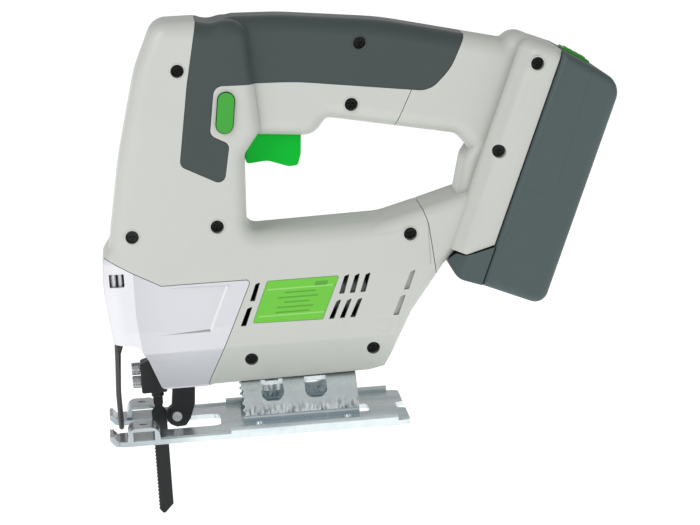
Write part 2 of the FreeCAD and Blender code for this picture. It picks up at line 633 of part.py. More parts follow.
UPPER, LOWER = (111, 119), (52, 60)
BLADE_AT = D.blade_axis
plate = pad_x("frame_plate", block(-16.9, 46, 16.9, 119, 3) + circle(0, D.motor_height, 6.5)
              + circle(0, gear_height, 4), "-26", "-20")
upper_arm = pad_z("upper_arm", block(BLADE_AT - 8.5, -9, -20.5, 9), str(UPPER[0]), str(UPPER[1]))
lower_block = pad_z("lower_block", block(BLADE_AT - 8.5, -11, -40.5, 11), str(LOWER[0]), str(LOWER[1]))
side_arms = pad_z("side_arms", block(-41, -11, -20.5, -8) + block(-41, 8, -20.5, 11), str(LOWER[0]), str(LOWER[1]))
bush_ways = pad_z("bush_ways", circle(BLADE_AT, 0, 7), "40", "130")
parts["gear_frame"] = cut("gear_frame", fuse("gear_frame_blank", plate, upper_arm, lower_block, side_arms),
                          bush_ways)
parts["plunger_bushes"] = group(
    "plunger_bushes", *[pad_z("bush_%d" % low, ring(BLADE_AT, 0, 7, D.rod_radius + D.running), str(low), str(high))
                        for low, high in (LOWER, UPPER)])
parts["plunger_rod"] = pad_z("plunger_rod", circle(BLADE_AT, 0, D.rod_radius), "30", "132")
slack = crank * 0.22 + 0.1
yoke_block = pad_x("yoke_block", block(-15.6, gear_height - 8.6, 15.6, gear_height + 8.6, 3),
                   "blade_axis - 5.5", "-40")
yoke_slot = pad_x("yoke_slot", slot(0, gear_height, 2 * (crank + 3 + slack) + 0.6, 3 + slack),
                  "-44.8", "-30")
yoke_bore = pad_z("yoke_bore", circle(BLADE_AT, 0, D.rod_radius), "60", "120")
parts["yoke"] = cut("yoke", yoke_block, yoke_slot, yoke_bore)

# ---------------------------------------------------------------- blade clamp, blade, roller arm
clamp_blank = fuse("clamp_blank",
                   pad_y("clamp_body", outline([(-44, 19.7, 1), (-44, 36, 1.2), (-52, 36), (-56.7, 34.6, 1),
                                                (-56.7, 19.7, 1)]), "-6.5", "6.5"),
                   pad_z("clamp_collar", circle(BLADE_AT, 0, 3.1), "17", "20"),
                   pad_z("clamp_neck", block(BLADE_AT - 2.4, -2.1, BLADE_AT + 2.4, 2.1), "13", "17.5"))
shank_way = pad_z("shank_way", block(BLADE_AT - 2.02, -D.blade_thick / 2 - 0.02, BLADE_AT + 2.02,
                                     D.blade_thick / 2 + 0.02), "12", "29")
rod_way = pad_z("rod_way", circle(BLADE_AT, 0, D.rod_radius), "30", "40")
SCREW_HEIGHTS = (31.4, 24.7)
screw_bores = [pad_x("clamp_bore_%d" % z, circle(0, z, 1.5), "-58", "-53.2") for z in SCREW_HEIGHTS]
parts["blade_clamp"] = cut("blade_clamp", clamp_blank, shank_way, rod_way, *screw_bores)
clamp_screws = []
for z in SCREW_HEIGHTS:
    head = pad_x("clamp_head_%d" % z, circle(0, z, 3), "-61", "-56.75")
    hexagon = outline([(1.3 * math.cos(math.radians(60 * k)), z + 1.3 * math.sin(math.radians(60 * k)))
                       for k in range(6)])
    socket = pad_x("clamp_socket_%d" % z, hexagon, "-62", "-58.8")
    stem = pad_x("clamp_stem_%d" % z, circle(0, z, 1.5), "-57", "-53.4")
    clamp_screws.append(cut("clamp_screw_%d" % z, fuse("clamp_screw_blank_%d" % z, head, stem), socket))
parts["clamp_screws"] = group("clamp_screws", *clamp_screws)

front_edge, back_edge = BLADE_AT - D.blade_width / 2, BLADE_AT + D.blade_width / 2
points = [(BLADE_AT - 2, 28.8), (BLADE_AT - 2, 11.5), (front_edge, 9.5), (front_edge, -1)]
tooth = 1.8
z = -1
while z - tooth > D.blade_tip + 2.4:
    points += [(front_edge + 0.6, z - 0.4), (front_edge, z - tooth)]
    z -= tooth
points += [(front_edge + 0.6, z - 0.4), (front_edge + 0.5, D.blade_tip + 1.6), (front_edge + 2.0, D.blade_tip),
           (front_edge + 3.0, D.blade_tip), (back_edge, D.blade_tip + 4.4),
           (back_edge, 9.5), (BLADE_AT + 2, 11.5), (BLADE_AT + 2, 28.8)]
parts["blade"] = pad_y("blade", outline(points), "-blade_thick / 2", "blade_thick / 2")

arm_blank = pad_y("arm_blank", outline([(-42.4, 12), (-41, 24), (-37, 36.6, 4), (-27.4, 36.6, 4), (-30.2, 20),
                                        (-30.8, 12.4), (-33.5, 5), (-36, 1.6, 2), (-42.0, 1.2, 2.5),
                                        (-43.2, 6, 2)]), "-5.2", "5.2")
fork = pad_y("fork", outline([(-52, -4), (-34.2, -4), (-34.2, 10.4), (-37.6, 13), (-52, 13)]), "-3.2", "3.2")
arm_bores = fuse("arm_bores", pad_y("arm_bore", circle(*ARM_PIVOT, 2 + D.running), "-6", "6"),
                 pad_y("axle_bore", circle(*ROLLER_AT, 2.4), "-6", "6"))
parts["roller_arm"] = cut("roller_arm", arm_blank, fork, arm_bores)
parts["arm_pivot"] = pad_y("arm_pivot", circle(*ARM_PIVOT, 2), "-15", "15")
blade_groove = pad_y("blade_groove", ring(*ROLLER_AT, D.roller_radius + 1, D.roller_radius - 0.8),
                     "-(blade_thick / 2 + 0.3)", "blade_thick / 2 + 0.3")
parts["roller"] = cut("roller", pad_y("roller_blank", ring(*ROLLER_AT, D.roller_radius, 2.4 + D.running), "-3", "3"),
                      blade_groove)
parts["roller_pin"] = pad_y("roller_pin", circle(*ROLLER_AT, 2.4), "-5.8", "5.8")

# ---------------------------------------------------------------- base plate and bevel bracket
half_base = D.base_width / 2
front, rear = -D.base_length / 2 + 4, D.base_length / 2
slot_side = D.blade_slot / 2
plate = pad_z("sole_plate", outline([(front, -slot_side, 2), (front, -half_base, 4), (rear, -half_base, 4),
                                     (rear, -9), (rear - 4, -6), (rear - 4, 6), (rear, 9),
                                     (rear, half_base, 4), (front, half_base, 4), (front, slot_side, 2),
                                     (-18.5, slot_side, 5), (-18.5, -slot_side, 5)])
              + block(2.4, -10, 56, 10, 3), "0", "sheet_metal")
TOE = [(front + 2, 0), (front - 1.2, 0), (front - 4, 3.0, 1), (front - 4, 5.2), (front - 2.4, 5.2),
       (front, 2.5), (front + 2, 2.5)]
FLANGES = [("front", "-54", "-14", 3.4, 1.2), ("rear", "-14.5", "68", 5.4, 1.5)]
FENCE_ARCH = [(-65.8, 0.5), (-64.6, 8.8, 4.5), (-50.0, 8.8, 4.5), (-48.8, 0.5)]
sides = []
for name, low, high in (("left", "-base_width / 2", "-blade_slot / 2"),
                        ("right", "blade_slot / 2", "base_width / 2")):
    sides.append(pad_y("toe_" + name, outline(TOE), low + " + 2.5", high + " - 2.5"))
for name, low, high, top, round_edge in FLANGES:
    for side, u0, u1 in (("left", -half_base, -half_base + 3.2), ("right", half_base - 3.2, half_base)):
        rolled = outline([(u0, 1), (u1, 1), (u1, top, round_edge), (u0, top, round_edge)])
        sides.append(pad_x("flange_%s_%s" % (name, side), rolled, low, high))
for name, low, high in (("left", "-base_width / 2", "-19"), ("right", "19", "base_width / 2")):
    sides.append(pad_y("arch_" + name, outline(FENCE_ARCH), low, high))
fence_tunnel = pad_y("fence_tunnel", block(-62.6, 2.5, -52.0, 7.0), "-50", "50")
fence_screw_ways = pad_z("fence_screw_ways", circle(-57.3, -30, 2) + circle(-57.3, 30, 2), "6", "12")
RIVETS = [(0, -28), (44, -28), (0, 28), (44, 28)]
rivet_ways = pad_z("rivet_ways", [c for x, y in RIVETS for c in circle(x, y, 1.6)], "-1", "3")
parts["base_plate"] = cut("base_plate", fuse("base_blank", plate, *sides), fence_tunnel, fence_screw_ways,
                          rivet_ways)

hoop = common("hoop", pad_x("hoop_ring", ring(0, 0, D.saddle_radius, D.saddle_radius - 2), "bracket_front",
                            "bracket_rear"),
              pad_x("hoop_side", block(-40, D.sheet_metal, 40, 60), "-60", "60"))
foot_left = pad_z("foot_left", block(D.bracket_front, -31, D.bracket_rear, -D.saddle_radius + 0.5, 0),
                  "sheet_metal", "sheet_metal + 1.6")
foot_right = pad_z("foot_right", block(D.bracket_front, D.saddle_radius - 0.5, D.bracket_rear, 31, 0),
                   "sheet_metal", "sheet_metal + 1.6")
WINDOWS = [(2.3, 13.5), (24.1, 35)]
hoop_window = []
for number, (x0, x1) in enumerate(WINDOWS, start=1):
    shape = outline([(x0, 30), (x0, 13.6, 4), (x1, 13.6, 4), (x1, 30)])
    hoop_window.append(pad_y("hoop_window_l%d" % number, shape, "-40", "-12"))
    hoop_window.append(pad_y("hoop_window_r%d" % number, shape, "12", "40"))
teeth = [piece for k in range(4) for piece in circle(D.bracket_front - 0.2, 8.6 + 3.3 * k, 1.35)]
tooth_gaps = [pad_y("tooth_gaps_left", teeth, "-40", "-10"), pad_y("tooth_gaps_right", list(teeth), "10", "40")]
arc_slot = pad_y("arc_slot", block(D.bevel_screw - 3.3, 13.6, D.bevel_screw + 3.3, 40), "-21.6", "21.6")
bracket_ways = pad_z("bracket_ways", [c for x, y in RIVETS for c in circle(x, y, 1.6)], "2", "5")
parts["bevel_bracket"] = cut("bevel_bracket", fuse("bracket_blank", hoop, foot_left, foot_right), arc_slot,
                             bracket_ways, *hoop_window, *tooth_gaps)
rivet = [turned("rivet_%d" % k, outline([(0, 0.6), (1.6, 0.6), (1.6, 4.1), (2.1, 4.1), (1.7, 5.2), (0, 5.4)]),
                "V_Axis") for k in range(4)]
for piece, (x, y) in zip(rivet, RIVETS):
    place(piece, str(x), str(y))
parts["bracket_rivets"] = group("bracket_rivets", *rivet)
screw_top, screw_bottom = 30.5, 15.6
bevel_blank = fuse("bevel_blank", pad_z("bevel_head", circle(D.bevel_screw, 0, 5), str(screw_bottom), "19.4"),
                   pad_z("bevel_stem", circle(D.bevel_screw, 0, 3), "19", str(screw_top)))
bevel_hexagon = outline([(D.bevel_screw + 2.6 * math.cos(math.radians(60 * k)),
                          2.6 * math.sin(math.radians(60 * k))) for k in range(6)])
bevel_socket = pad_z("bevel_socket", bevel_hexagon, "15", "18")
parts["bevel_screw"] = cut("bevel_screw", bevel_blank, bevel_socket)
clamp_plan = block(D.bevel_screw - 7.8, -8.5, D.bevel_screw + 8.2, 8.5, 2) + circle(D.bevel_screw, 0, 3)
parts["clamp_plate"] = pad_z("clamp_plate", clamp_plan, "19.4", "21.6")

# ---------------------------------------------------------------- switch gear
TRIGGER_FORM = [(3.2, 131.0, 1.5), (14, 131.9, 8), (24.5, 128.2, 3), (29.0, 128.4, 2), (30.8, 134, 3),
                (31.6, 143.6), (31.6, 152.6), (10.5, 152.6), (10.5, 147), (4.2, 138.2, 4)]
parts["trigger"] = pad_y("trigger", outline(TRIGGER_FORM), "-8", "8")
parts["trigger_spring"] = coil("trigger_spring", 24, 0, 152.6, 7.4, 3, 0.45, 5)
parts["switch_body"] = pad_y("switch_body", block(6, 160, 36, 174, 1.5), "-9", "9")
parts["lock_button"] = fuse(
    "lock_button", pad_y("button_head", slot(*BUTTON), "-(body_width / 2 + 1.5)", "-16"),
    pad_y("button_flange", slot(BUTTON[0], BUTTON[1], BUTTON[2] + 4, BUTTON[3] + 2, BUTTON[4]), "-21.8", "-20.4"))

# ---------------------------------------------------------------- battery and its socket
slab_top, slab_low = D.column_height, D.column_height - D.battery_length - 0.8
SLAB = [(0.4, slab_top), (D.battery_thick, slab_top - 5.5, 10), (D.battery_thick, slab_low, 6.5),
        (0.4, slab_low)]
FOOT = [(0.5, -0.9), (-11.7, -9.9, 1.5), (-15.4, -10.6, 1.5), (-18.4, -15.6, 3), (-11.8, -21.6, 7), (0.5, -20.8)]
slab = with_rims("slab_round", pad_y("slab", outline(SLAB), "-battery_width / 2", "battery_width / 2"), 4)
foot_plan = pad_z("foot_plan", outline([(2, -33.6), (-9.5, -33.6, 6), (-18.6, -22, 4), (-18.6, 22, 4),
                                        (-9.5, 33.6, 6), (2, 33.6)]), "-30", "20")
foot = common("foot", pad_y("foot_block", outline(FOOT), "-battery_width / 2", "battery_width / 2"), foot_plan)
cavity = pad_y("cavity", outline(pulled_in([point[:2] for point in SLAB], 2.5)), "-(battery_width / 2 - 2.5)",
               "battery_width / 2 - 2.5")
latch_box = pad_y("latch_box", outline([(2, 84), (21, 84), (21, 97), (2, 100.2)]), "-11.5", "11.5")
latch_way = pad_z("latch_way", block(2.6, -9.4, 18.4, 9.4, 1), "87", "104")
case = cut("case_blank", fuse("case_outer", slab, foot), cavity)
blades_at = (-7.5, 7.5)
contacts = [pad_z("contact_%d" % y, block(-10.4, y - 0.4, 3.6, y + 0.4), "66", "78") for y in blades_at]
parts["battery_case"] = leaning(cut("battery_case", fuse("case_box", case, latch_box), latch_way,
                                    *contacts))
T_PLAN = [(0.4, -21.1), (0.4, 21.1), (-4.4, 21.1), (-4.4, 24.1), (-8.1, 24.1), (-8.1, -24.1), (-4.4, -24.1),
          (-4.4, -21.1)]
parts["battery_rails"] = leaning(cut("battery_rails", pad_z("rail_block", outline(T_PLAN), "3", "85.6"), *contacts))
parts["battery_contacts"] = leaning(group("battery_contacts", *contacts))
cells = [pad_y("cell_%d" % k, circle(13.5, -8 + 18.6 * k, 9), "-31.8", "31.8") for k in range(5)]
parts["battery_cells"] = leaning(group("battery_cells", *cells))
strips = [pad_y("strip_%d%s" % (k, side), block(10, -10 + 18.6 * k, 17, 12.6 + 18.6 * k), low, high)
          for k in range(0, 4) for side, low, high in (("l", "-32.1", "-31.8"), ("r", "31.8", "32.1"))
          if (k + (side == "r")) % 2 == 0]
parts["cell_strips"] = leaning(group("cell_strips", *strips))
parts["battery_board"] = leaning(pad_z("battery_board", block(6.6, -30, 30, 30), "78.2", "79.8"))
LATCH_FORM = [(3, 94), (18, 94), (18, 99.4, 0.8), (3, 101.9, 0.8)]
parts["battery_latch"] = leaning(pad_y("battery_latch", outline(LATCH_FORM), "-9", "9"))
terminal = pad_z("terminal_blank", block(-12, -15, -8.9, 15), "60", "85")
terminal_slots = [pad_z("terminal_slot_%d" % y, block(-11.4, y - 0.8, -8, y + 0.8), "50", "78.8")
                  for y in blades_at]
parts["terminal_block"] = leaning(cut("terminal_block", terminal, *terminal_slots))

# ---------------------------------------------------------------- checks and files
doc.recompute()
for item in doc.Objects:
    if "Invalid" in item.State or "Error" in item.State:
        raise RuntimeError("%s did not compute" % item.Label)
for node, item in parts.items():
    if item.Shape.isNull() or not item.Shape.isValid() or not item.Shape.Solids:
        raise RuntimeError("%s has no sound shape" % node)
    item.Label = node
    item.Shape.exportStep("parts/%s.step" % node)
    print(node, len(item.Shape.Solids), round(item.Shape.Volume), item.Shape.BoundBox)
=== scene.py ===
# %% [markdown]
# A cordless jigsaw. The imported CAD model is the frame: its pieces are already in place and are never
# moved, so this lesson gives each of them its finish, adds the small trim that is easier to shape by
# hand, and sets up a small white studio. Everything is in metres, with the middle of the sole at zero,
# the blade towards -X, the battery towards +X and the tool's left side towards -Y.

# %% Load the frame
import math

import bmesh
import bpy
from mathutils import Matrix, Vector


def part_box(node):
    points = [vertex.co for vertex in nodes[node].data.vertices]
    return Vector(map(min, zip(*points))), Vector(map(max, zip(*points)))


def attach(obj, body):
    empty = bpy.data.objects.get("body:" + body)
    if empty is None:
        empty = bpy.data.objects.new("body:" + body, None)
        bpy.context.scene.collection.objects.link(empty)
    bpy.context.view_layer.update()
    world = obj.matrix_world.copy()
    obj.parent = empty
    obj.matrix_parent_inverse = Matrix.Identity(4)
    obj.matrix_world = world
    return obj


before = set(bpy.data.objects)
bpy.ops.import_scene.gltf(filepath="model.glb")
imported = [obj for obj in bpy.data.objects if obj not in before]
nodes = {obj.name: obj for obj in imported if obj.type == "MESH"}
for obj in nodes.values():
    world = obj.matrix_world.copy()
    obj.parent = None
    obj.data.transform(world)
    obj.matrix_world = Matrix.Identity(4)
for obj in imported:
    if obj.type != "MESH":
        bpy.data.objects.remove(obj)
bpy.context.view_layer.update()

print("nodes:", len(nodes))

# %% [markdown]
# Finishes are node trees. Sums on sockets read best as sums in Python, so one small class wraps a
# socket and builds a Math node for each operator, and one method makes any other node: its settings
# are given first, then what goes into its sockets.

# %% Sockets as numbers
class Amount:
    """A socket that can be added to, multiplied and compared like a number."""

    def __init__(self, finish, socket):
        self.finish, self.socket = finish, socket

    def math(self, operation, *values, clamp=False):
        return self.finish.node("ShaderNodeMath", {"operation": operation, "use_clamp": clamp},
                                dict(enumerate(values)))

    def __add__(self, other):
        return self.math("ADD", self, other)

    def __radd__(self, other):
        return self.math("ADD", other, self)

    def __sub__(self, other):
        return self.math("SUBTRACT", self, other)

    def __rsub__(self, other):
        return self.math("SUBTRACT", other, self)

    def __mul__(self, other):
        return self.math("MULTIPLY", self, other)

    def __rmul__(self, other):
        return self.math("MULTIPLY", other, self)

    def __truediv__(self, other):
        return self.math("DIVIDE", self, other)

    def __lt__(self, other):
        return self.math("LESS_THAN", self, other)

    def __gt__(self, other):
        return self.math("GREATER_THAN", self, other)

    def clamped(self):
        return self.math("ADD", self, 0.0, clamp=True)

    def size(self):
        return self.math("ABSOLUTE", self)


def linear(red, green, blue):
    """A colour as a paint chart gives it (0 to 255), in Blender's linear numbers."""
    steps = [part / 255 for part in (red, green, blue)]
    return tuple(s / 12.92 if s <= 0.04045 else ((s + 0.055) / 1.055) ** 2.4 for s in steps) + (1.0,)


class Finish:
    """One material: a Principled shader and whatever feeds it."""

    def __init__(self, name, **sockets):
        self.material = bpy.data.materials.new(name)
        self.material.use_nodes = True
        self.tree = self.material.node_tree
        self.tree.nodes.clear()
        self.shader = self.tree.nodes.new("ShaderNodeBsdfPrincipled")
        out = self.tree.nodes.new("ShaderNodeOutputMaterial")
        self.tree.links.new(self.shader.outputs["BSDF"], out.inputs["Surface"])
        for key, value in sockets.items():
            self.feed(self.shader, key.replace("_", " "), value)
        self.place = self.node("ShaderNodeTexCoord", {}, {}, "Object")
        self.x, self.y, self.z = [self.node("ShaderNodeSeparateXYZ", {}, {0: self.place}, axis)
                                  for axis in "XYZ"]

    def feed(self, node, key, value):
        socket = node.inputs[key]
        if isinstance(value, Amount):
            self.tree.links.new(value.socket, socket)
        else:
            socket.default_value = value

    def node(self, kind, settings, inputs, output=0):
        made = self.tree.nodes.new(kind)
        for key, value in settings.items():
            setattr(made, key, value)
        for key, value in inputs.items():
            self.feed(made, key, value)
        return Amount(self, made.outputs[output])

    def set(self, **sockets):
        for key, value in sockets.items():
            self.feed(self.shader, key.replace("_", " "), value)
        return self

    def overlay(self, amount, colour):
        """Another colour over the base colour, where amount is 1."""
        below = Amount(self, self.shader.inputs["Base Color"].links[0].from_socket)
        return self.set(Base_Color=mixed(self, amount, below, colour))

    def stroke(self, u, v, first, last, half_width):
        """1 on a straight line between two points of the u, v plane, 0 off it."""
        du, dv = last[0] - first[0], last[1] - first[1]
        length = math.hypot(du, dv)
        along = ((u - first[0]) * du + (v - first[1]) * dv) / length
        off = (((u - first[0]) * dv - (v - first[1]) * du) / length).size()
        return (along > 0) * (along < length) * (off < half_width)


print("white:", [round(part, 3) for part in linear(205, 208, 202)[:3]])

# %% [markdown]
# Every finish here is built from the same few habits of real surfaces, with painted shade added. A large
# soft noise shifts the colour a little, a fine one is the mould's or casting's texture, long thin noise
# makes rubbing marks in the gloss, corners are polished by handling, and an ambient occlusion mask paints
# shade into the seams and corners. Painted images would need every CAD mesh unwrapped first, and noise on
# Object coordinates needs nothing but a place.
# The corner mask compares the true normal with the Bevel node's rounded one, which also takes the knife
# edge off every CAD corner.

# %% Shared surface habits
def noise(finish, scale, detail=3.0, stretch=(1, 1, 1)):
    spot = finish.node("ShaderNodeMapping", {}, {"Vector": finish.place, "Scale": stretch})
    return finish.node("ShaderNodeTexNoise", {}, {"Vector": spot, "Scale": scale, "Detail": detail})


def corners(finish, radius):
    """The rounded normal, and a mask that is 1 on sharp corners."""
    soft = finish.node("ShaderNodeBevel", {"samples": 4}, {"Radius": radius})
    true = finish.node("ShaderNodeNewGeometry", {}, {}, "Normal")
    match = finish.node("ShaderNodeVectorMath", {"operation": "DOT_PRODUCT"}, {0: soft, 1: true}, "Value")
    return soft, ((1 - match) * 5.0).clamped()


def mixed(finish, amount, first, second):
    return finish.node("ShaderNodeMix", {"data_type": "RGBA"}, {"Factor": amount, 6: first, 7: second}, 2)


def surfaced(finish, colour, worn, rough, grain, depth, blotch=0.25, edge=0.35, radius=0.0003, marks=0.08,
             dust=None, lay=(1, 1, 1), relief=0.0, patch=28):
    """Colour, gloss and bump of a real surface, with painted shade in its seams, fed to a finish's shader.
    """
    soft, corner = corners(finish, radius)
    cloud = noise(finish, patch, 4)
    fine = noise(finish, grain, 2, lay)
    rubbed = noise(finish, 260, 5, (1, 1, 0.12))
    deeper = tuple(part * (1 - blotch * 0.5) for part in colour[:3]) + (1.0,)
    base = mixed(finish, (cloud * 1.8 - 0.4).clamped(), deeper, colour)
    base = mixed(finish, corner * edge, base, worn)
    # painted shade: ambient occlusion darkens the colour in seams and corners
    if dust:
        shade = finish.node("ShaderNodeAmbientOcclusion", {"samples": 4}, {"Distance": 0.004}, "AO")
        base = mixed(finish, ((1 - shade) * 0.55).clamped(), base, dust)
    height = fine + rubbed * 0.25 + relief
    bump = finish.node("ShaderNodeBump", {},
                       {"Strength": 0.9, "Distance": depth, "Height": height, "Normal": soft})
    roughness = (rough + (rubbed - 0.5) * marks * 2 - corner * 0.06).clamped()
    return finish.set(Base_Color=base, Roughness=roughness, Normal=bump)


# %% [markdown]
# The housing is glossy off-white moulded plastic: a very fine spark-eroded texture, a soft sheen and
# greyish painted shade along the seams. The rubber skin over the handle is dark slate with a matt, pebbled
# face.
# The battery's cheeks carry the faint outline of a mould insert. It could be cut into the cheek, but it
# is a mark rather than a groove, so three strokes of a darker colour draw it, on a plane that leans with
# the battery.

# %% Housing plastic and rubber
body_white = surfaced(Finish("housing_plastic", IOR=1.5), linear(199, 202, 196), linear(218, 220, 215),
                      0.36, 1900, 0.00003, blotch=0.06, edge=0.5, dust=linear(120, 122, 116))
grip_slate = surfaced(Finish("grip_rubber", IOR=1.48, Sheen_Weight=0.15, Sheen_Roughness=0.4),
                      linear(60, 70, 70), linear(96, 106, 108), 0.5, 1500, 0.00007, blotch=0.16, edge=0.45,
                      dust=linear(40, 44, 46))
battery_slate = surfaced(Finish("battery_plastic", IOR=1.48), linear(69, 84, 84), linear(108, 120, 122),
                         0.48, 1300, 0.00008, blotch=0.1, edge=0.5, dust=linear(38, 42, 44))
LEAN = math.radians(23)  # the battery and its seam with the column lean by this
SEAM_FOOT = (0.1216, 0.0846)  # x and z of the seam's lower end
BATTERY_CHEEK = 0.0345  # half the width from which a face counts as a cheek
# corners of the insert's outline, each off the seam and up along it
INSERT_CORNERS = ((0.0164, 0.097), (0.0198, 0.0365), (0.0134, 0.0314), (0.004, 0.0314))
past_foot, over_foot = battery_slate.x - SEAM_FOOT[0], battery_slate.z - SEAM_FOOT[1]
off_seam_sum = past_foot * math.cos(LEAN) - over_foot * math.sin(LEAN)
up_seam_sum = past_foot * math.sin(LEAN) + over_foot * math.cos(LEAN)
insert_line = 0.0
for first, last in zip(INSERT_CORNERS, INSERT_CORNERS[1:]):
    insert_line = battery_slate.stroke(off_seam_sum, up_seam_sum, first, last, 0.0002) + insert_line
on_battery_cheek = battery_slate.y.size() > BATTERY_CHEEK
battery_slate.overlay(insert_line.clamped() * 0.35 * on_battery_cheek, linear(48, 58, 60))
dark_plastic = surfaced(Finish("dark_plastic"), linear(38, 40, 42), linear(70, 72, 74), 0.5, 1500, 0.00005)
print("plastics ready")

# %% [markdown]
# The nose is sprayed silver under a thin clear coat. Behind the strip that wraps round its front there is
# a soft crease. It could be pressed into the sheet with a loft, but it is so shallow that painted light
# stands in for it: a painted highlight lightens the strip, and a painted shade fades out behind it towards
# the rear. The sloping rear wall of the sunk panel carries a painted highlight, and its foot a painted
# shadow. The trigger and the two buttons are bright green glossy plastic.

# %% Silver paint and green plastics
nose_silver = Finish("silver_paint", Coat_Weight=0.35, Coat_Roughness=0.12, Metallic=0.25)
surfaced(nose_silver, linear(213, 214, 219), linear(244, 245, 248), 0.33, 2600, 0.00002, blotch=0.06,
         edge=0.6, dust=linear(120, 122, 130))
CREASE_X, CREASE_BEND_Z = -0.0566, 0.062  # the crease runs upright, and slants below this height
SHADE_LENGTH = 0.014
PANEL_REAR = (-0.0108, 0.0733), (-0.0206, 0.0522)  # x and z of the ends of the panel's rear wall
PANEL_FRONT_X, PANEL_FOOT_Z = -0.047, 0.0513
behind = nose_silver.x - CREASE_X - (CREASE_BEND_Z - nose_silver.z).clamped() * 0.1
on_cheek = nose_silver.y.size() > 0.02
# painted highlight: the strip in front of the crease is lightened
nose_silver.overlay((behind < 0) * on_cheek * 0.7, linear(234, 235, 240))
# painted shade behind the crease, fading out towards the rear
nose_silver.overlay((1 - behind / SHADE_LENGTH).clamped() * (behind > 0) * on_cheek * 0.35,
                    linear(186, 188, 196))
# painted highlight along the sloping rear wall of the sunk panel
rear_wall_highlight = nose_silver.stroke(nose_silver.x, nose_silver.z, *PANEL_REAR, 0.0006)
nose_silver.overlay(rear_wall_highlight * on_cheek * 0.8, linear(252, 252, 253))
in_panel = (nose_silver.x > PANEL_FRONT_X) * (nose_silver.x < PANEL_REAR[1][0])
over_foot_line = in_panel * (nose_silver.z > PANEL_FOOT_Z)
# painted shadow: a dark wedge along the foot of the sunk panel
foot_shadow = over_foot_line * (nose_silver.z - PANEL_FOOT_Z < (nose_silver.x - PANEL_FRONT_X) * 0.05)
nose_silver.overlay(foot_shadow * on_cheek * 0.6, linear(128, 128, 130))
trigger_green = surfaced(Finish("trigger_green", Specular_IOR_Level=0.12), linear(2, 190, 52),
                         linear(30, 200, 80), 0.4, 1700, 0.00003, blotch=0.12, edge=0.5)
button_green = surfaced(Finish("button_green", Specular_IOR_Level=0.3), linear(64, 164, 58),
                        linear(104, 195, 92), 0.42, 1700, 0.00004, blotch=0.12, edge=0.5,
                        dust=linear(30, 80, 30))
print("paints ready")

# %% [markdown]
# The base and its bracket are steel with bluish zinc plating: rolled sheet, so the noise is drawn out
# along the length, with cloudy patches where the plating took differently, and a painted shade darkens
# the front end of the base. The bent foot of the bracket is wrinkled by the press. Sculpting each wrinkle
# would be slow, so long thin noise that fades upwards lifts the surface over a smooth bead, and the same
# noise paints shade and highlights on the wrinkles. The bead carries a band of painted bluish shade and
# a thin painted highlight. The clamp, arm and blade are blackened steel, dull where it is rough and grey
# on worn corners.

# %% Metals
def metal(name, colour, worn, rough, grain, depth, lay, metallic=1.0, **more):
    return surfaced(Finish(name, Metallic=metallic), colour, worn, rough, grain, depth, lay=lay, **more)


zinc = metal("zinc_plated_steel", linear(226, 236, 238), linear(250, 252, 253), 0.2, 500, 0.00002,
             (0.15, 1, 1), blotch=0.25, edge=0.8, marks=0.2, metallic=0.65, dust=linear(70, 80, 88),
             patch=22)
zinc.overlay((noise(zinc, 40, 2, (0.4, 1, 1)) * 5.0 - 2.5).clamped() * 0.6, linear(124, 158, 176))
# painted shade: the base darkens towards its front end
zinc.overlay(((-0.028 - zinc.x) / 0.02).clamped() * 0.5, linear(118, 128, 134))
BEAD_LOW, BEAD_SHINE, BEAD_TOP = 0.0042, 0.0069, 0.0078  # heights of the bead at the bracket's foot
bracket_zinc = Finish("bracket_zinc", Metallic=0.7)
over_bead = bracket_zinc.z - BEAD_TOP
pressed = (1 - over_bead / (0.003 + noise(bracket_zinc, 500, 2) * 0.005)).clamped() * (over_bead > 0)
wrinkle = (noise(bracket_zinc, 620, 3, (1, 1, 0.05)) - 0.5) * pressed
surfaced(bracket_zinc, linear(224, 233, 235), linear(252, 253, 254), 0.22, 600, 0.00003, blotch=0.25,
         edge=0.8, marks=0.3, dust=linear(60, 72, 82), relief=wrinkle * 22.0, patch=40)
# painted shade in the wrinkles' hollows and over the pressed band
bracket_zinc.overlay((wrinkle * 5.0 + pressed * 0.15).clamped(), linear(58, 72, 80))
# painted highlights on the wrinkles' ridges
bracket_zinc.overlay((wrinkle * -6.0).clamped(), linear(254, 255, 255))
# painted shade: a darker bluish band on the curled bead
bracket_zinc.overlay((over_bead < 0) * (bracket_zinc.z > BEAD_LOW) * 0.6, linear(118, 152, 168))
# painted highlight: a thin bright line along the bead
off_shine = (bracket_zinc.z - BEAD_SHINE).size() / 0.0006
bracket_zinc.overlay((1 - off_shine).clamped() * 0.9, linear(248, 251, 252))
black_steel = metal("blackened_steel", linear(40, 42, 43), linear(104, 106, 106), 0.42, 900, 0.00008,
                    (1, 1, 0.4), metallic=0.55, blotch=0.3, edge=0.6, marks=0.15)
guard_steel = metal("guard_wire_steel", linear(84, 86, 84), linear(150, 150, 146), 0.36, 800, 0.00005,
                    (1, 1, 0.1), metallic=0.85, blotch=0.4, marks=0.2)
screw_steel = metal("screw_steel", linear(204, 207, 209), linear(250, 250, 250), 0.24, 1200, 0.00003,
                    (1, 1, 1), blotch=0.2, marks=0.15, metallic=0.75)
plain_steel = metal("plain_steel", linear(150, 152, 155), linear(215, 215, 215), 0.33, 900, 0.00004,
                    (0.2, 1, 1), blotch=0.25)
copper = metal("copper_strip", linear(196, 128, 84), linear(232, 178, 140), 0.3, 900, 0.00004,
               (1, 0.2, 1))
bronze = metal("sintered_bronze", linear(170, 132, 82), linear(210, 176, 120), 0.5, 2000, 0.00009,
               (1, 1, 1))
casting = metal("die_casting", linear(158, 160, 162), linear(200, 202, 204), 0.5, 1100, 0.00012,
                (1, 1, 1), blotch=0.3)
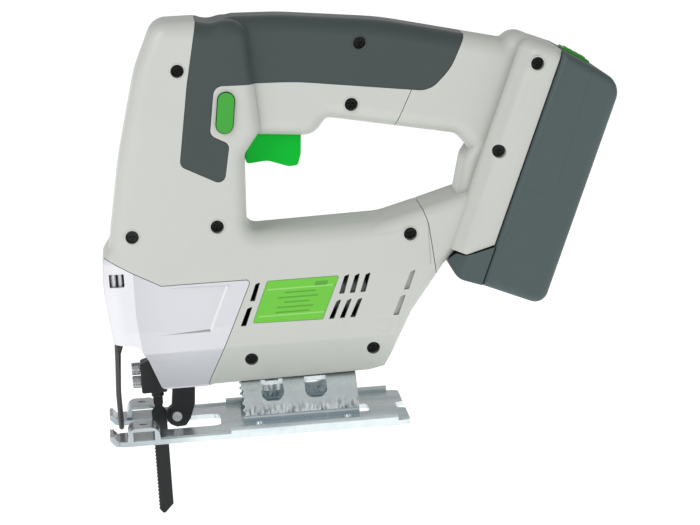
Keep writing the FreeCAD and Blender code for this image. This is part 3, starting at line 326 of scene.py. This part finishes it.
cell_blue = metal("cell_wrap", linear(60, 96, 140), linear(120, 150, 180), 0.35, 900, 0.00003, (1, 1, 1),
                  metallic=0.0)
board_green = surfaced(Finish("circuit_board"), linear(30, 104, 60), linear(140, 150, 90), 0.35, 900,
                       0.00004)
print("metals ready")

# %% [markdown]
# The rating label is printed on green film. Real print is left out; plain dark rules of different
# lengths stand where its lines are. Thin plates could be laid on the film, but ink has no thickness, so
# the rules are sums on the place along and up the label, which leans like the label itself.

# %% Label film
label_low, label_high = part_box("label_plate")
label_film = Finish("label_film", IOR=1.45)
LABEL_LEAN, LABEL_LENGTH = 0.0086, 0.0345  # how far its top edge is shifted, and how long it is
up_label = (label_film.z - label_low.z) / (label_high.z - label_low.z)
along_label = (label_film.x - label_low.x - up_label * LABEL_LEAN) / LABEL_LENGTH


def rule(middle, half_height, left, right):
    inside = (up_label > middle - half_height) * (up_label < middle + half_height)
    return inside * (along_label > left) * (along_label < right)


print_mask = rule(0.86, 0.05, 0.70, 0.88)
LINES = ((0.70, 0.30, 0.74), (0.585, 0.22, 0.80), (0.47, 0.34, 0.70), (0.355, 0.26, 0.78),
         (0.24, 0.26, 0.74))
for middle, left, right in LINES:
    print_mask = print_mask + rule(middle, 0.018, left, right)
surfaced(label_film, linear(108, 198, 58), linear(130, 215, 100), 0.4, 1500, 0.00002, blotch=0.08)
label_film.overlay((print_mask * 0.45).clamped(), linear(40, 92, 40))
frame_lines = rule(0.795, 0.016, 0.03, 0.97) + rule(0.17, 0.016, 0.03, 0.97)
label_film.overlay(frame_lines * 0.4, linear(190, 232, 160))
print("label", [round(v * 1000, 1) for v in (label_low.x, label_high.x, label_low.z, label_high.z)])

# %% [markdown]
# Each CAD node takes its finish in its own material slots; its mesh is left alone.

# %% Dress the CAD nodes
dress = {
    body_white: "front_left_shell front_right_shell rear_left_shell rear_right_shell",
    grip_slate: "left_grip right_grip",
    battery_slate: "battery_case battery_rails",
    nose_silver: "nose_cover",
    guard_steel: "wire_guard",
    screw_steel: "nose_pins clamp_screws bevel_screw roller_pin",
    black_steel: "blade_clamp blade roller_arm roller arm_pivot housing_screws",
    zinc: "base_plate bracket_rivets clamp_plate",
    bracket_zinc: "bevel_bracket",
    trigger_green: "trigger",
    button_green: "lock_button battery_latch",
    label_film: "label_plate",
    plain_steel: "motor_can rotor_core rotor_shaft gear_shaft crank_pin pinion drive_gear yoke plunger_rod "
                 "front_bearing trigger_spring motor_magnets",
    casting: "gear_frame",
    bronze: "plunger_bushes",
    copper: "commutator battery_contacts cell_strips",
    cell_blue: "battery_cells",
    board_green: "battery_board",
    dark_plastic: "motor_end_cap cooling_fan switch_body terminal_block",
}
for finish, names in dress.items():
    for name in names.split():
        piece = nodes[name]
        piece.data.materials.clear()
        piece.data.materials.append(finish.material)
print("dressed:", sum(len(names.split()) for names in dress.values()), "of", len(nodes))

# %% [markdown]
# Small trim is modelled by hand. A helper puts a new primitive in place with nothing else selected, and
# another picks its faces by a rule, so that each step of shaping reads like the work in the viewport.

# %% Modelling helpers
def start(add, name, **where):
    bpy.ops.object.select_all(action="DESELECT")
    add(**where)
    piece = bpy.context.object
    piece.name = name
    bpy.ops.object.transform_apply(location=True, rotation=True, scale=True)
    bpy.ops.object.mode_set(mode="EDIT")
    bpy.ops.mesh.select_mode(type="FACE")
    return piece


def pick_faces(piece, wanted):
    mesh = bmesh.from_edit_mesh(piece.data)
    mesh.faces.ensure_lookup_table()
    for number, face in enumerate(mesh.faces):
        face.select_set(bool(wanted(face, number)))
    mesh.select_flush_mode()
    bmesh.update_edit_mesh(piece.data)


def done(piece, finish, body, bevel=0.00012, segments=2):
    bpy.ops.object.mode_set(mode="OBJECT")
    if bevel:
        edge = piece.modifiers.new("edge", "BEVEL")
        edge.width, edge.segments, edge.limit_method = bevel, segments, "ANGLE"
        bpy.ops.object.modifier_apply(modifier=edge.name)
    bpy.ops.object.shade_smooth_by_angle(angle=math.radians(35))
    piece.data.materials.append(finish.material)
    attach(piece, body)
    return piece


def hollow_ends(piece, wall):
    """Insets both round ends and bridges them, which turns a disc into a ring."""
    pick_faces(piece, lambda face, number: len(face.verts) > 4)
    bpy.ops.mesh.inset(thickness=wall)
    bpy.ops.mesh.bridge_edge_loops()


# %% [markdown]
# Round each sunk screw the mould leaves a thin raised lip. A torus would be too round in section, so
# each lip is a short disc whose ends are inset and bridged into a flat ring, then bevelled.

# %% Lips round the sunk screws
HOLE_RADIUS, LIP_WALL = 3.3, 0.6
LIPS = {  # x, z and the side face it stands on, in millimetres; lip b is on the rubber
    "a": (-27.3, 181.0, 25), "b": (63.1, 187.4, 18), "c": (56.9, 157.6, 18), "d": (148.4, 172.2, 32.5),
    "e": (81.2, 92.2, 25), "f": (-55.5, 101.2, 25), "g": (-13.5, 103.1, 25),
}
for key, (x, z, face) in LIPS.items():
    lip = start(bpy.ops.mesh.primitive_cylinder_add, "screw_lip_" + key, vertices=48, depth=0.0009,
                radius=(HOLE_RADIUS + LIP_WALL) / 1000,
                location=(x / 1000, -(face - 0.25) / 1000, z / 1000), rotation=(math.pi / 2, 0, 0))
    hollow_ends(lip, LIP_WALL / 1000)
    finish, slot_name = (grip_slate, "grip_rubber") if key == "b" else (body_white, "body_plastic")
    done(lip, finish, "housing")
print("lips:", len(LIPS))

# %% [markdown]
# The two clamp screws have ribbed heads, for fingers to grip. Separate ribs could be set round the
# head, but one mesh is simpler: a short tube slips over each plain CAD head, and every other side face
# is pushed out into a rib.

# %% Ribbed heads of the clamp screws
HEAD_X, HEAD_LENGTH, SLEEVE_RADIUS, SLEEVE_WALL, RIB_HEIGHT = -0.0588, 0.0036, 0.0031, 0.00008, 0.00022
for key, z in (("top", 0.0314), ("low", 0.0247)):
    middle = Vector((HEAD_X, 0, z))
    head = start(bpy.ops.mesh.primitive_cylinder_add, "clamp_screw_ribs_" + key, vertices=40,
                 depth=HEAD_LENGTH, radius=SLEEVE_RADIUS, location=middle, rotation=(0, math.pi / 2, 0))
    hollow_ends(head, SLEEVE_WALL)
    pick_faces(head, lambda face, number: abs(face.normal.x) < 0.1 and number % 2 == 0
               and (face.calc_center_median() - middle).dot(face.normal) > 0.001)
    bpy.ops.mesh.extrude_region_shrink_fatten(TRANSFORM_OT_shrink_fatten={"value": -RIB_HEIGHT})
    done(head, screw_steel, "plunger", bevel=0.00005, segments=1)
print("ribbed heads: 2")

# %% [markdown]
# The battery's latch has low finger ribs across it. An array modifier could repeat one bar, but each
# rib here follows the sloping top of the latch, so a loop shapes and places them, and each has its own
# mesh.

# %% Latch ribs
TOP_SLOPE = math.atan(2.5 / 15)
RIB_COUNT, RIB_SIZE, RIB_RISE = 4, (1.1, 15.5, 0.7), 0.0002
up_seam = Vector((math.sin(LEAN), 0, math.cos(LEAN)))
off_seam = Vector((math.cos(LEAN), 0, -math.sin(LEAN)))
foot_of_seam = Vector((SEAM_FOOT[0], 0, SEAM_FOOT[1]))
for number in range(RIB_COUNT):
    middle = foot_of_seam + off_seam * (0.006 + 0.003 * number) + up_seam * (0.1014 - 0.0005 * number)
    rib = start(bpy.ops.mesh.primitive_cube_add, "latch_rib_%d" % number, size=0.001, location=middle,
                rotation=(0, LEAN + TOP_SLOPE, 0), scale=RIB_SIZE)
    pick_faces(rib, lambda face, index: face.normal.dot(up_seam) > 0.9)
    bpy.ops.mesh.inset(thickness=0.0002)
    bpy.ops.transform.translate(value=up_seam * RIB_RISE)
    done(rib, button_green, "latch_body", bevel=0.0001)
print("latch ribs:", RIB_COUNT)

# %% [markdown]
# The studio is a white floor that glows a little and runs far back, one large soft light above and in
# front, a weaker one from the right, and an even white surround so that the glossy faces have something
# pale to reflect.

# %% Studio
bpy.ops.object.select_all(action="DESELECT")
FLOOR_HEIGHT = -0.075
bpy.ops.mesh.primitive_plane_add(size=30, location=(0, 0, FLOOR_HEIGHT))
floor = bpy.context.object
floor.name = "studio_floor"
floor_paint = Finish("studio_floor_paint", Roughness=0.9, Emission_Color=(1, 1, 1, 1),
                     Emission_Strength=0.62)
floor_paint.set(Base_Color=(0.97, 0.97, 0.97, 1.0))
floor.data.materials.append(floor_paint.material)

world = bpy.data.worlds.new("studio_air")
bpy.context.scene.world = world
world.use_nodes = True
surround = world.node_tree.nodes["Background"]
surround.inputs["Color"].default_value = (1, 1, 1, 1)
surround.inputs["Strength"].default_value = 0.45


def soft_light(name, spot, aim, size, power):
    lamp = bpy.data.lights.new(name, "AREA")
    lamp.shape, lamp.size, lamp.energy = "SQUARE", size, power
    holder = bpy.data.objects.new(name, lamp)
    bpy.context.scene.collection.objects.link(holder)
    holder.location = spot
    holder.rotation_euler = (Vector(aim) - Vector(spot)).to_track_quat("-Z", "Y").to_euler()


soft_light("key_light", (-0.62, -0.6, 0.78), (0.0, 0, 0.1), 0.7, 4.3)
soft_light("fill_light", (0.9, -0.9, 0.35), (0.05, 0, 0.08), 0.9, 1.6)
bpy.context.scene.view_settings.view_transform = "Standard"

# %% [markdown]
# The camera stands well back with a long lens, which keeps the two sides of the tool nearly in line,
# almost square to the left side, a little above and rolled so that the sole runs down to the left.

# %% Camera
YAW, PITCH, ROLL, AWAY = math.radians(-3.381), math.radians(8.804), math.radians(4.005), 1.77875
FOCAL_LENGTH = 182.95
look_at = Vector((0.051856, 0, 0.076493))
back = Vector((math.sin(YAW) * math.cos(PITCH), -math.cos(YAW) * math.cos(PITCH), math.sin(PITCH)))
right = (-back).cross(Vector((0, 0, 1))).normalized()
up = right.cross(-back)
turned_right = math.cos(ROLL) * right - math.sin(ROLL) * up
turned_up = math.sin(ROLL) * right + math.cos(ROLL) * up
lens = bpy.data.cameras.new("studio_camera")
lens.lens, lens.sensor_width, lens.clip_end = FOCAL_LENGTH, 36, 100
camera = bpy.data.objects.new("studio_camera", lens)
bpy.context.scene.collection.objects.link(camera)
turn = Matrix((turned_right, turned_up, back)).transposed()
camera.matrix_world = Matrix.Translation(look_at + back * AWAY) @ turn.to_4x4()
bpy.context.scene.camera = camera
print("camera at", [round(v, 3) for v in camera.location])
